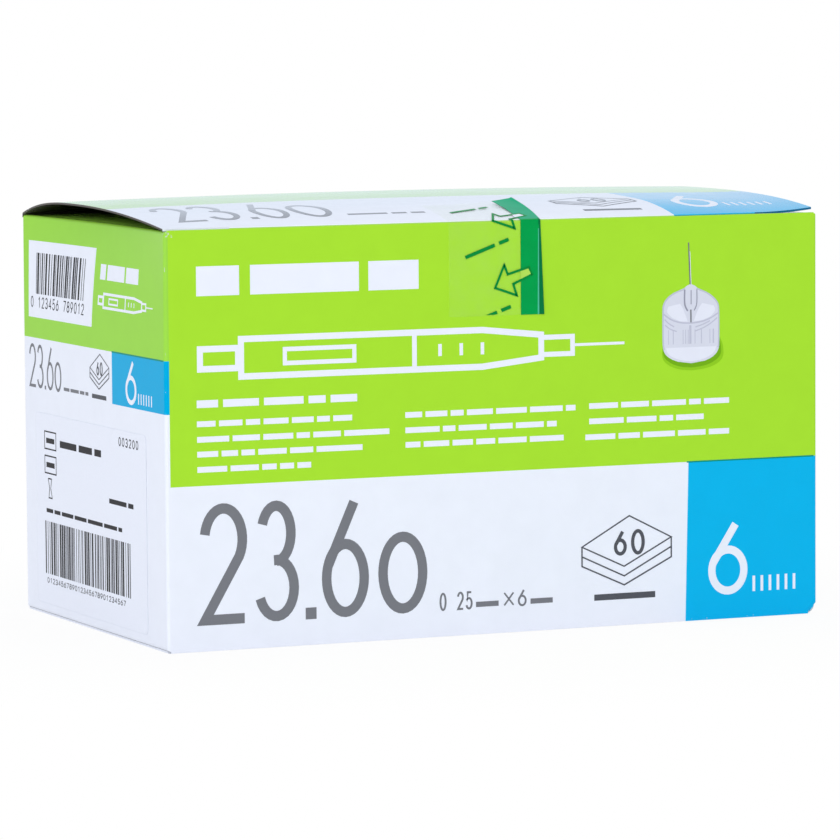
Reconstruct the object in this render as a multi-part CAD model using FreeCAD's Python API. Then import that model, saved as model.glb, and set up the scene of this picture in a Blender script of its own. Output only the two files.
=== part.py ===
import FreeCAD, Part
import math
import os

# Sealed folding carton for a hundred capped pen needles, standing on its closed bottom.
# X runs along the front, the front panel faces -Y and Z is up. The origin is the middle of the
# rectangle that the carton stands on. All sizes are millimetres.

# Outside of the carton, from panel face to panel face
carton_width = 148.0
carton_depth = 85.2
front_height = 85.6          # up to the raw top edge of the front panel

# Board and its creases
board = 0.45                 # solid bleached board
crease_radius = 0.7          # outside radius of the upright and dust flap creases
seam_setback = 0.9           # raw edge of the back panel, in from the glued corner
edge_drop = 0.2              # dust flap creases lie this much under the front panel's edge
raw_edge_rise = 0.1          # front panel's raw bottom edge, above the surface it stands on

# Lid, hinged on the back panel and tucked behind the front panel
lid_inset_left = 0.1
lid_inset_right = 0.9
crease_slope = 15.0          # degrees that the lid already rises by where a crease ends
lid_clearance = 0.05         # how far the creases stand above the dust flaps
bow_middle = 3.9             # how far the lid bows up half-way along
bow_end = 3.1                # and at its two ends
bow_peak = 0.61              # share of the lid's depth, from the front, where it is highest
shoulder_rise = 1.6          # part of the middle bow that it gains right behind the tuck crease
shoulder_reach = 18.0        # and how far behind the crease it has gained it
slit_length = 14.4           # slit locks, at each end of the tuck crease
corner_lift = 0.9            # right front corner, which has sprung up
corner_reach = 55.0          # how far back the lifted corner can be felt
tuck_anchor = 0.6            # the lid's ends run this far down into the carton

# Bottom panel, closed in the same way and flat
bottom_inset = 0.5

# Dust flaps under the lid
flap_length = 45.0
flap_gap = 1.2               # clear of the tuck and the hinge
flap_rise = 0.95             # how far a flap arches up under the lid
flap_crest = 12.0            # how far in from the crease it is highest

# Left end panel, drawn in at its top by the dust flap that is folded from it
draw_in = 2.2                # half-way along the crease
draw_depth = 28.0            # down to here
draw_start = 0.05            # less than this isn't taken off

# Bottom corner that has been knocked, at the right of the front
knock_radius = 1.8

# Clear film seal over the lid's front edge
seal_width = 21.4
seal_offset = -0.7           # from the middle of the front to the middle of the seal
seal_drop = 19.5             # down the front panel
seal_reach = 14.3            # back over the lid
seal_film = 0.08
glue_line = 0.04
seal_edge = 1.0              # strip along the right side that has come away
seal_edge_lift = 0.35
seal_corner_lift = 1.1       # its right rear corner stands off the lid

# White data label on the left end panel
label_width = 66.3
label_height = 40.7
label_thickness = 0.09
label_from_back = 7.7
label_from_bottom = 2.7
label_corner = 1.2

# Places that the curved surfaces are drawn through, as shares of the length they cover
shoulder_steps = (0.0, 0.3, 0.65, 1.0)        # behind the tuck crease, over the shoulder
behind_shoulder = 1.5                         # one more, at this many times its reach
hinge_steps = (0.55, 0.25, 0.0)               # from the peak to the hinge, counted from the hinge
held_steps = (0.0, 0.25, 0.5, 0.75, 1.0)      # along the lid, up to the right slit
free_steps = (0.0, 0.5, 1.0)                  # and along the lifted corner
flap_steps = [step / 8 for step in range(9)]  # along and across a dust flap
draw_steps = (-0.1, 0.12, 0.34, 0.56, 0.78, 1.0)  # down the part of the end that is drawn in
film_steps = (0.0, 0.33, 0.67, 1.0)           # along the stuck part of the seal
film_lid_steps = (0.15, 0.35, 0.65, 1.0)      # and back over the lid

# How far a cutting block runs past what it cuts
cut_past = 1.0

# Worked out from the sizes above
half_width = carton_width / 2
half_depth = carton_depth / 2
flap_level = front_height - edge_drop
tuck_face = -half_depth + board
lid_left = -half_width + lid_inset_left
lid_right = half_width - lid_inset_right
lid_front = tuck_face + board * (1 - math.sin(math.radians(crease_slope)))
lid_back = half_depth - board * (1 - math.sin(math.radians(crease_slope)))
lid_level = flap_level + lid_clearance + board * math.cos(math.radians(crease_slope))
slit_start = half_width - slit_length


def point(x, y, z):
    return FreeCAD.Vector(x, y, z)


def block(x_range, y_range, z_range):
    """Box between two values of X, of Y and of Z."""
    low = point(x_range[0], y_range[0], z_range[0])
    size = [high - start for start, high in (x_range, y_range, z_range)]
    return Part.makeBox(size[0], size[1], size[2], low)


def spline(points):
    """Smooth curve through the points."""
    curve = Part.BSplineCurve()
    curve.interpolate(Points=points)
    return curve.toShape()


def line(start, end):
    return Part.LineSegment(start, end).toShape()


# Lid surface

def lid_height(x, y):
    """Outer face of the lid above the point x, y. From the front it is a parabola up to the
    peak, with a short second one for the shoulder, and from the peak a cubic down to the hinge.
    The sprung corner is added: it grows towards the right end and fades away from the front."""
    across = abs(x) / half_width
    forward = y - lid_front
    peak = bow_peak * (lid_back - lid_front)
    shoulder = shoulder_rise * (1 - across ** 4)
    arch = bow_middle + (bow_end - bow_middle) * across ** 2 - shoulder
    rise = arch * (1 - max(0.0, 1 - forward / peak) ** 2)
    rise += shoulder * (1 - max(0.0, 1 - forward / shoulder_reach) ** 2)
    fall = max(0.0, (forward - peak) / (lid_back - lid_front - peak))
    along = max(0.0, (x - slit_start) / slit_length)
    away = math.pi * min(1.0, forward / corner_reach)
    sprung = corner_lift * along ** 2 * (1 + math.cos(away)) / 2
    return lid_level + rise * (1 - fall ** 3) + sprung


def lid_points(x, extra):
    """Points of the lid's face at one place along the carton, moved up by extra."""
    front = [step * shoulder_reach for step in shoulder_steps]
    front += [behind_shoulder * shoulder_reach, bow_peak * (lid_back - lid_front)]
    rear = [step * (1 - bow_peak) * (lid_back - lid_front) for step in hinge_steps]
    y_values = [lid_front + step for step in front] + [lid_back - step for step in rear]
    return [point(x, y, lid_height(x, y) + extra) for y in y_values]


def make_crease(x_range, foot_y, inward):
    """Round crease at the front or the back of the lid, with a root that runs down into the
    carton. It turns from upright to the slope at which the lid's face takes over."""
    slope = math.radians(crease_slope)
    half_turn = (math.pi / 2 - slope) / 2
    x = x_range[0]
    centre = point(x, foot_y + inward * board, flap_level + lid_clearance)
    start = centre + point(0, -inward * board, 0)
    middle = centre + point(0, -inward * math.cos(half_turn), math.sin(half_turn)) * board
    top = centre + point(0, -inward * math.sin(slope), math.cos(slope)) * board
    root = point(x, centre.y, flap_level - tuck_anchor)
    foot = point(x, foot_y, flap_level)
    outline = [Part.Arc(start, middle, top).toShape(), line(top, centre), line(centre, root),
               line(root, foot), line(foot, start)]
    return Part.Face(Part.Wire(outline)).extrude(point(x_range[1] - x_range[0], 0, 0))


def lid_section(x):
    """The lid's board between the two creases, at one place along the carton."""
    outer = lid_points(x, 0)
    inner = lid_points(x, -board)
    return Part.Wire([spline(outer), line(outer[-1], inner[-1]), spline(inner),
                      line(inner[0], outer[0])])


def make_lid():
    """Bowed lid panel, with the tuck crease that ends at the two slit locks and the hinge crease
    along the whole back."""
    held = [lid_left + step * (slit_start - lid_left) for step in held_steps]
    free = [slit_start + step * (lid_right - slit_start) for step in free_steps]
    lid = Part.makeLoft([lid_section(x) for x in held], True, False)
    lid = lid.fuse(Part.makeLoft([lid_section(x) for x in free], True, False))
    lid = lid.fuse(make_crease((-slit_start, slit_start), tuck_face, 1))
    return lid.fuse(make_crease((lid_left, lid_right), half_depth, -1))


# Panels

def rounded_outline(corners, to_point):
    """Closed wire through the corners, each given with its own radius, 0 for a sharp one."""
    edges = []
    count = len(corners)
    for i in range(count):
        (ax, ay, _), (bx, by, radius), (cx, cy, _) = (corners[i - 1], corners[i],
                                                      corners[(i + 1) % count])
        before = FreeCAD.Vector(ax - bx, ay - by, 0).normalize()
        after = FreeCAD.Vector(cx - bx, cy - by, 0).normalize()
        corner = FreeCAD.Vector(bx, by, 0)
        start = corner + before * radius
        end = corner + after * radius
        if edges:
            edges.append((edges[-1][1], start, None))
        middle = corner + (before + after) * radius * (1 - math.sqrt(0.5))
        edges.append((start, end, middle if radius else None))
    edges.append((edges[-1][1], edges[0][0], None))
    shapes = []
    for start, end, middle in edges:
        if start.distanceToPoint(end) < 1e-6:
            continue
        first, last = to_point(start), to_point(end)
        if middle is None:
            shapes.append(line(first, last))
        else:
            shapes.append(Part.Arc(first, to_point(middle), last).toShape())
    return Part.Wire(shapes)


def make_body():
    """End, front and back panels round the packed goods, with the upright and dust flap creases,
    the glued corner and the raw edges of the front panel."""
    seam_y = half_depth - board
    plan = [(-half_width, -half_depth, crease_radius), (half_width, -half_depth, crease_radius),
            (half_width, seam_y, crease_radius), (half_width - seam_setback, seam_y, 0),
            (half_width - seam_setback, half_depth, 0), (-half_width, half_depth, crease_radius)]
    front = [(-half_width, board, crease_radius), (half_width, board, crease_radius),
             (half_width, flap_level, crease_radius), (-half_width, flap_level, crease_radius)]
    upright = Part.Face(rounded_outline(plan, lambda p: point(p.x, p.y, board)))
    upright = upright.extrude(point(0, 0, flap_level - board))
    through = Part.Face(rounded_outline(front, lambda p: point(p.x, -carton_depth, p.y)))
    through = through.extrude(point(0, 2 * carton_depth, 0))
    face_x = (-half_width + crease_radius, half_width - crease_radius)
    front_panel = block(face_x, (-half_depth, tuck_face), (raw_edge_rise, front_height))
    return upright.common(through).fuse(front_panel)


def make_bottom():
    """Bottom panel, hinged on the back panel and tucked behind the front one."""
    x = -half_width + bottom_inset
    top = board + tuck_anchor
    bend = board * (1 - math.sqrt(0.5))
    edges = [Part.Arc(point(x, tuck_face, board), point(x, tuck_face + bend, bend),
                      point(x, tuck_face + board, 0)).toShape(),
             line(point(x, tuck_face + board, 0), point(x, half_depth - board, 0)),
             Part.Arc(point(x, half_depth - board, 0), point(x, half_depth - bend, bend),
                      point(x, half_depth, board)).toShape(),
             line(point(x, half_depth, board), point(x, half_depth - board, top)),
             line(point(x, half_depth - board, top), point(x, tuck_face + board, top)),
             line(point(x, tuck_face + board, top), point(x, tuck_face, board))]
    length = carton_width - 2 * bottom_inset
    panel = Part.Face(Part.Wire(edges)).extrude(point(length, 0, 0))
    for x_range in ((-carton_width, -slit_start), (slit_start, carton_width)):
        slit = block(x_range, (-carton_depth, tuck_face + board), (-board, board))
        panel = panel.cut(slit)
    return panel


def make_flap(side):
    """Dust flap of one end, arched up a little under the lid. Its edge dips under the level of
    its crease, where the flat of the carton takes over."""
    sunk = board
    inner = flap_length - crease_radius
    low_y = tuck_face + board + flap_gap
    high_y = half_depth - board - flap_gap
    crest = (flap_crest - crease_radius) / inner
    rows = []
    for along in flap_steps:
        if along < crest:
            rise_x = math.sin(math.pi / 2 * along / crest)
        else:
            rise_x = 1 - ((along - crest) / (1 - crest)) ** 2
        row = []
        for across in flap_steps:
            x = side * (half_width - crease_radius - along * inner)
            y = low_y + (high_y - low_y) * across
            rise = (flap_rise + sunk) * rise_x * math.sin(math.pi * across)
            row.append(point(x, y, flap_level - sunk + rise))
        rows.append(row)
    surface = Part.BSplineSurface()
    surface.interpolate(rows)
    return surface.toShape().extrude(point(0, 0, -(flap_rise + 2 * board)))


def make_flap_well():
    """Shallow well between the free edges of the two dust flaps."""
    reach = half_width - flap_length
    return block((-reach, reach), (tuck_face + 2 * board, half_depth - 2 * board),
                 (flap_level - board, flap_level + board))


def make_draw():
    """What the left end panel and its flap lose where the fold draws them in. It is most half-way
    along the crease and fades out down the panel and at its two folds."""
    rows = []
    for down in draw_steps:
        row = []
        for across in flap_steps:
            most = draw_in * abs(math.sin(math.pi * across)) ** 0.8
            x = -half_width + most * (1 - down) ** 1.7 - draw_start
            y = half_depth - across * carton_depth
            row.append(point(x, y, front_height - down * draw_depth))
        rows.append(row)
    surface = Part.BSplineSurface()
    surface.interpolate(rows)
    return surface.toShape().extrude(point(-2 * draw_in, 0, 0))


def make_knock():
    """What the knock has taken off the sharp bottom corner: the corner of a cube, less a ball."""
    low = point(half_width - knock_radius, -half_depth + knock_radius, knock_radius)
    corner = block((low.x, half_width + cut_past), (-half_depth - cut_past, low.y),
                   (-cut_past, low.z))
    return corner.cut(Part.makeSphere(knock_radius, low))


def make_carton():
    """The whole carton, folded from one blank and filled, as one solid."""
    carton = make_body().fuse(make_bottom())
    carton = carton.cut(make_flap_well())
    for side in (-1, 1):
        carton = carton.fuse(make_flap(side))
    carton = carton.cut(make_draw())
    carton = carton.fuse(make_lid())
    carton = carton.cut(make_knock())
    return carton.removeSplitter()


# Labels

def seal_path(x, front_off, rear_off, extra):
    """Line down the front, tight bend over the crease and curve up the lid, for one face of the
    film at one place along the carton."""
    slope = math.radians(crease_slope)
    face = -half_depth - glue_line
    gained = lid_level + glue_line - front_height + (face - lid_front) * math.tan(slope)
    bend = gained / (math.cos(slope) - (1 - math.sin(slope)) * math.tan(slope))
    centre = point(x, face + bend, front_height)
    radius = bend + extra
    half_turn = (math.pi / 2 - slope) / 2
    top = centre - point(0, radius, 0)
    middle = centre + point(0, -math.cos(half_turn), math.sin(half_turn)) * radius
    start = centre + point(0, -math.sin(slope), math.cos(slope)) * radius
    foot = point(x, face - extra - front_off, front_height - seal_drop)
    lid = [start]
    for share in film_lid_steps:
        y = start.y + share * (seal_reach - half_depth - start.y)
        z = lid_height(x, y) + glue_line + rear_off * share ** 2 + extra / math.cos(slope)
        lid.append(point(x, y, z))
    return [line(foot, top), Part.Arc(top, middle, start).toShape(), spline(lid)], foot, lid[-1]


def seal_section(x, front_off, rear_off):
    """The film at one place along the carton, between its two faces."""
    inner, foot, end = seal_path(x, front_off, rear_off, 0)
    outer, outer_foot, outer_end = seal_path(x, front_off, rear_off, seal_film)
    edges = inner + [line(end, outer_end)] + outer[::-1] + [line(outer_foot, foot)]
    return Part.Wire(Part.__sortEdges__(edges))


def make_seal():
    """Clear film seal, stuck down except along its right side and at its right rear corner."""
    left = seal_offset - seal_width / 2
    stuck_width = seal_width - seal_edge

    def section(share, front_off):
        x = left + share * stuck_width
        return seal_section(x, front_off, seal_corner_lift * share ** 3)

    stuck = [section(share, 0) for share in film_steps]
    loose = [stuck[-1], section(seal_width / stuck_width, seal_edge_lift)]
    return Part.makeLoft(stuck, True, False).fuse(Part.makeLoft(loose, True, True))


def make_label():
    """Flat paper label with round corners on the left end panel."""
    x = -half_width - glue_line
    back = half_depth - label_from_back
    low = point(x - label_thickness, back - label_width, label_from_bottom)
    label = Part.makeBox(label_thickness, label_width, label_height, low)
    corners = [edge for edge in label.Edges if edge.BoundBox.XLength > label_thickness / 2]
    return label.makeFillet(label_corner, corners)


os.makedirs("parts", exist_ok=True)
pieces = {"carton": make_carton(), "seal_label": make_seal(), "data_label": make_label()}
for name, shape in pieces.items():
    solid = shape.Solids[0] if len(shape.Solids) == 1 else shape
    box = solid.BoundBox
    print(name, solid.isValid(), len(shape.Solids), round(solid.Volume, 2),
          [round(value, 2) for value in (box.XMin, box.YMin, box.ZMin, box.XMax, box.YMax, box.ZMax)])
    solid.exportStep("parts/" + name + ".step")
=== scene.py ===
import bmesh
import bpy
import math
import numpy as np
from mathutils import Matrix, Vector


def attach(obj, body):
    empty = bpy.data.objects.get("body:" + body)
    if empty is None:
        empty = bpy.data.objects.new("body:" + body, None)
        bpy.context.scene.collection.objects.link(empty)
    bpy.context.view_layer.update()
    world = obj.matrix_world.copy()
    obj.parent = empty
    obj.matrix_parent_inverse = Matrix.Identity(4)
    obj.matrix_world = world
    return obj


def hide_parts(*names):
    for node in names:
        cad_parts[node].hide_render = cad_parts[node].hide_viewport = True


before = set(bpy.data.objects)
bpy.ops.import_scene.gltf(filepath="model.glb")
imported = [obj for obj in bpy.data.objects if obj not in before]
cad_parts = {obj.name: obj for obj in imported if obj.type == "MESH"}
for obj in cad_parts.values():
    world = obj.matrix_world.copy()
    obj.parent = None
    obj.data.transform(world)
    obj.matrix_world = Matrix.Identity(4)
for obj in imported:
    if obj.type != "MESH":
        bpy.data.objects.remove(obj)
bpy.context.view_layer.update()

# Sizes that the whole carton shares, in millimetres. X runs along the front, the front
# faces -Y and Z is up, and the origin is the middle of the rectangle it stands on.
carton = {
    "width": 148.0, "depth": 85.2, "frontHeight": 85.6,
    "board": 0.45,            # solid bleached board
    "creaseRadius": 0.7,      # upright folds and dust flap folds
    "edgeDrop": 0.2,          # dust flap folds lie this much under the front's raw edge
    "rawEdgeRise": 0.1,       # front's raw bottom edge above the floor
    "seamSetback": 0.9,       # raw edge of the back panel, in from the glued corner
    "slitLength": 14.4,       # slit locks at the ends of the tuck folds
    "tuckAnchor": 0.6,        # how far a lid's ends run down into the carton
    "knockRadius": 1.8,       # knocked corner, bottom right of the front
}
halfWidth = carton["width"] / 2
halfDepth = carton["depth"] / 2
board = carton["board"]
frontHeight = carton["frontHeight"]
flapLevel = frontHeight - carton["edgeDrop"]
tuckFace = -halfDepth + board
slitStart = halfWidth - carton["slitLength"]
print("frame loaded")


# sRGB hex value to the linear colour that a shader socket takes
def toLinear(hexColour):
    channels = np.array([int(hexColour[i:i + 2], 16) for i in (1, 3, 5)]) / 255
    linear = np.where(channels <= 0.04045, channels / 12.92, ((channels + 0.055) / 1.055) ** 2.4)
    return (*linear.tolist(), 1.0)


# One shader node with its settings, by attribute or socket, and what feeds it: an output, or
# a node that stands for its first output
def addNode(tree, kind, settings=None, links=None):
    node = tree.nodes.new("ShaderNode" + kind)
    for key, value in (settings or {}).items():
        if isinstance(key, str) and hasattr(node, key):
            setattr(node, key, value)
        else:
            node.inputs[key].default_value = value
    for key, source in (links or {}).items():
        tree.links.new(source.outputs[0] if hasattr(source, "outputs") else source, node.inputs[key])
    return node


# Empty material with its noises over the object, each from its size in mm and its detail
def newMaterial(name, *noises):
    material = bpy.data.materials.new(name)
    material.use_nodes = True
    tree = material.node_tree
    tree.nodes.clear()
    place = addNode(tree, "TexCoord").outputs["Object"]
    return material, tree, [
        addNode(tree, "TexNoise", {"Scale": 1000 / size, "Detail": detail}, {"Vector": place})
        for size, detail in noises]


# Colour that a noise makes darker and brighter by a share. The noise spans edge to 1 - edge.
def mottled(tree, hexColour, noise, edge, share):
    shade = addNode(tree, "MapRange", {"From Min": edge, "From Max": 1 - edge,
                                       "To Min": 1 - share, "To Max": 1 + share},
                    {"Value": noise})
    return addNode(tree, "VectorMath", {"operation": "SCALE", 0: toLinear(hexColour)[:3]},
                   {"Scale": shade})


# Last nodes of a material: bumps one over the other, each from what it reads, its strength and
# its height in mm, and the surface
def setSurface(tree, settings, links, *bumps):
    under = {}
    for source, strength, height in bumps:
        under = {"Normal": addNode(tree, "Bump", {"Strength": strength, "Distance": height / 1000},
                                   {"Height": source, **under})}
    surface = addNode(tree, "BsdfPrincipled", settings, {**links, **under})
    addNode(tree, "OutputMaterial", links={"Surface": surface})


# Folding boxboard: bleached board with a smooth clay coat, offset printed and varnished.
# The eye sees an even colour under a soft gloss, a very fine fibre tooth, slow waves in the
# panels and, where a fold or a raw edge has rubbed, a broken line of pale fibre.
varnishedBoard = {
    "inks": {                       # as seen in plain light
        # shadedEndLimeInk and shadedEndSkyInk are darker copies of the lime and the blue: painted shade of
        # the end panels
        "limeInk": "#A7E034", "shadedEndLimeInk": "#9BD84A", "whiteInk": "#EBEFF9",
        "skyInk": "#0EB4E8", "tealOverprint": "#0B8F7C", "greyInk": "#787A80",
        "darkInk": "#26262B", "softDarkInk": "#55575E", "shadeInk": "#74AE1C",
        "paleShadeInk": "#8FCB25", "paleGreyInk": "#BFC1D2", "hubLineInk": "#9698A8",
        "hubInk": "#D6D9E6", "glintInk": "#E4E7F3", "shadedEndSkyInk": "#00AADD",
        # paintedShadeBack is a dark grey-brown that stands for painted shade in the gap under the lid and
        # on the dust flaps' far part
        "shadedSkyInk": "#1E6A92", "paintedShadeBack": "#57544F",
    },
    "roughness": 0.22, "coat": 1.0, "coatRoughness": 0.12,
    "ior": 1.06,              # of the walls' ink and varnish, which mirror the dim side of the room
    "lidIor": 1.15,           # of the lid's, which mirror the white behind it
    "lidInks": ("limeInk", "whiteInk", "skyInk", "tealOverprint", "greyInk", "softDarkInk"),
    "mottleSize": 5.0, "mottleShare": 0.015,     # uneven ink, mm and share of its brightness
    "roughnessSpread": (-0.03, 0.04),            # that goes with it
    "fibreSize": 0.6, "fibreHeight": 0.0015,     # mm
    "waveSize": 38.0, "waveHeight": 0.05,        # slow waves of the panels, mm
    "wearSize": 0.5, "wornFibre": "#D9DCDF",     # rubbed spots along the folds
    "wearSlope": 0.7, "wearStart": -0.95,        # how the wear attribute brings them out
    "wearEdge": 0.12,
}


def makeInk(name, hexColour, ior):
    look = varnishedBoard
    material, tree, (mottle, specks, fibre, waves) = newMaterial(
        name, (look["mottleSize"], 3.0), (look["wearSize"], 4.0), (look["fibreSize"], 2.0),
        (look["waveSize"], 1.0))
    fold = addNode(tree, "Attribute", {"attribute_name": "wear"})
    rubbed = addNode(tree, "Math",
                     {"operation": "MULTIPLY_ADD", 1: look["wearSlope"], 2: look["wearStart"]},
                     {0: fold.outputs["Fac"]})
    bare = addNode(tree, "Math", {"operation": "ADD"}, {0: specks, 1: rubbed})
    mask = addNode(tree, "MapRange", {"From Min": 0.0, "From Max": look["wearEdge"]}, {"Value": bare})
    colour = addNode(tree, "Mix", {"data_type": "RGBA", 7: toLinear(look["wornFibre"])},
                     {0: mask, 6: mottled(tree, hexColour, mottle, 0.25, look["mottleShare"])})
    least, most = [look["roughness"] + spread for spread in look["roughnessSpread"]]
    gloss = addNode(tree, "MapRange",
                    {"From Min": 0.3, "From Max": 0.7, "To Min": least, "To Max": most},
                    {"Value": mottle})
    setSurface(tree, {"IOR": ior, "Coat Weight": look["coat"], "Coat Roughness": look["coatRoughness"],
                      "Coat IOR": ior},
               {"Base Color": colour.outputs[2], "Roughness": gloss},
               (waves, 1.0, look["waveHeight"]), (fibre, 0.6, look["fibreHeight"]))
    return material


# Cut edge of the same board: layers of bleached pulp, matt, with a faint grey line of fibres
rawEdge = {"colour": "#DADAD8", "fibre": "#B4B3AF", "fibreSize": 0.25, "fibreHeight": 0.03,
           "roughness": 0.85}


def makeRawBoard():
    material, tree, (fibre,) = newMaterial("rawBoardEdge", (rawEdge["fibreSize"], 4.0))
    mix = addNode(tree, "Mix", {"data_type": "RGBA", 6: toLinear(rawEdge["colour"]),
                                7: toLinear(rawEdge["fibre"])}, {0: fibre})
    setSurface(tree, {"Roughness": rawEdge["roughness"]}, {"Base Color": mix.outputs[2]},
               (fibre, 0.8, rawEdge["fibreHeight"]))
    return material


inks = {name: makeInk(name, colour, varnishedBoard["ior"])
        for name, colour in varnishedBoard["inks"].items()}
inks["rawBoardEdge"] = makeRawBoard()
lidInks = dict(inks)
for name in varnishedBoard["lidInks"]:
    lidInks[name] = makeInk(name + "OnLid", varnishedBoard["inks"][name], varnishedBoard["lidIor"])
(lime, shadedEndLime, white, sky, teal, grey, dark, softDark, shade, paleShade, paleGrey, hubLine, hub,
 glint, endSky, shadedSky, paintedShade, raw) = range(len(inks))
print("board materials ready")


# Quads between the neighbouring points of a grid whose points are numbered row by row
def gridFaces(rows, columns, wrapRows=False, wrapColumns=False):
    i = np.arange(rows if wrapRows else rows - 1)[:, None]
    j = np.arange(columns if wrapColumns else columns - 1)[None, :]
    below, right = (i + 1) % rows, (j + 1) % columns
    corners = [i * columns + j, i * columns + right, below * columns + right, below * columns + j]
    return np.stack(np.broadcast_arrays(*corners), -1).reshape(-1, 4)


# Thin closed shell between two grids of points: both faces and the strip round their rim
def closedSheet(top, bottom):
    rows, columns = top.shape[:2]
    count = rows * columns
    grid = np.arange(count).reshape(rows, columns)
    rim = np.concatenate([grid[0], grid[1:, -1], grid[-1, -2::-1], grid[-2:0:-1, 0]])
    following = np.roll(rim, -1)
    sides = np.stack([rim, following, following + count, rim + count], -1)
    faces = gridFaces(rows, columns)
    points = np.concatenate([top.reshape(-1, 3), bottom.reshape(-1, 3)])
    return points, np.concatenate([faces, faces[:, ::-1] + count, sides])


# Several shells as one set of points and faces
def joined(shells):
    starts = np.cumsum([0] + [len(points) for points, _ in shells[:-1]])
    points = np.concatenate([points for points, _ in shells])
    faces = [face for start, (_, part) in zip(starts, shells) for face in (part + start).tolist()]
    return points, faces


# Object in the scene for a mesh, a lamp or a camera
def addObject(name, data):
    added = bpy.data.objects.new(name, data)
    bpy.context.scene.collection.objects.link(added)
    return added


sharpAngle = 32.0             # faces that meet at more than this keep a sharp edge


# A piece from points in millimetres, with its doubles merged and its faces turned outwards. It
# rides on the carton and takes the place of a node.
def makePiece(name, points, faces, materials, slots=None, wear=None, node="carton",
              slotName="printed_board"):
    mesh = bpy.data.meshes.new(name)
    mesh.from_pydata((np.asarray(points) / 1000).tolist(), [],
                     faces if isinstance(faces, list) else faces.tolist())
    for material in materials:
        mesh.materials.append(material)
    if slots is not None:
        mesh.polygons.foreach_set("material_index", np.asarray(slots, dtype=np.int32))
    layer = mesh.attributes.new("wear", "FLOAT", "POINT")
    layer.data.foreach_set("value", np.zeros(len(points)) if wear is None else wear)
    shape = bmesh.new()
    shape.from_mesh(mesh)
    bmesh.ops.remove_doubles(shape, verts=shape.verts, dist=1e-7)
    bmesh.ops.recalc_face_normals(shape, faces=shape.faces)
    shape.to_mesh(mesh)
    shape.free()
    mesh.polygons.foreach_set("use_smooth", np.ones(len(mesh.polygons), dtype=bool))
    mesh.set_sharp_from_angle(angle=math.radians(sharpAngle))
    piece = addObject(name, mesh)
    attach(piece, "root")
    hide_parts(node)


# Bell curve: as high as its height at distance 0, fading over its width
def bell(distance, width, height=1.0):
    return height * np.exp(-(distance / width) ** 2)


# Lid: hinged on the back panel, tucked behind the front one and bowed by its own spring
lid = {
    "left": -halfWidth + 0.1, "right": halfWidth - 0.9,
    "creaseSlope": 15.0, "clearance": 0.05,
    "bowMiddle": 3.9, "bowEnd": 3.1, "bowPeak": 0.61,
    "shoulderRise": 1.6, "shoulderReach": 18.0,
    "cornerLift": 0.9, "cornerReach": 55.0,
    "whiteStrip": 32.0,       # white and blue behind the front fold, green from there
    "skyStart": 40.6,         # X where the blue field starts
    "nearEnd": 1.5,           # sections this far in from each end
    "worn": (0.5, 0.4),       # width and strength along its edges
}
creaseSlope = math.radians(lid["creaseSlope"])
lidFront = tuckFace + board * (1 - math.sin(creaseSlope))
lidBack = halfDepth - board * (1 - math.sin(creaseSlope))
lidLevel = flapLevel + lid["clearance"] + board * math.cos(creaseSlope)


# Outer face of the lid: from the front a parabola up to the peak, with a short second one for
# the shoulder, then a cubic down to the hinge. The sprung corner grows with the square of the
# way along the slit and fades backwards as half a cosine.
def lidHeight(x, y):
    across = np.abs(x) / halfWidth
    forward = y - lidFront
    depth = lidBack - lidFront
    peak = lid["bowPeak"] * depth
    shoulder = lid["shoulderRise"] * (1 - across ** 4)
    arch = lid["bowMiddle"] + (lid["bowEnd"] - lid["bowMiddle"]) * across ** 2 - shoulder
    rise = arch * (1 - np.maximum(0, 1 - forward / peak) ** 2)
    rise = rise + shoulder * (1 - np.maximum(0, 1 - forward / lid["shoulderReach"]) ** 2)
    fall = np.maximum(0, (forward - peak) / (depth - peak))
    along = np.maximum(0, (x - slitStart) / carton["slitLength"])
    away = np.pi * np.clip(forward / lid["cornerReach"], 0, 1)
    sprung = lid["cornerLift"] * along ** 2 * (1 + np.cos(away)) / 2
    return lidLevel + rise * (1 - fall ** 3) + sprung


# How a panel that ends in two folds is divided
folded = {
    "arcSteps": 9, "panelSteps": 48,
    "innerShare": 0.1,        # inner face of a fold: its radius, as a share of the board
    "cutUnder": (0.05, 0.3),  # a cut edge's underside: how far in it starts and its length, mm
    "slitGap": 1e-4,          # between the two sections at the end of a slit
}


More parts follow.
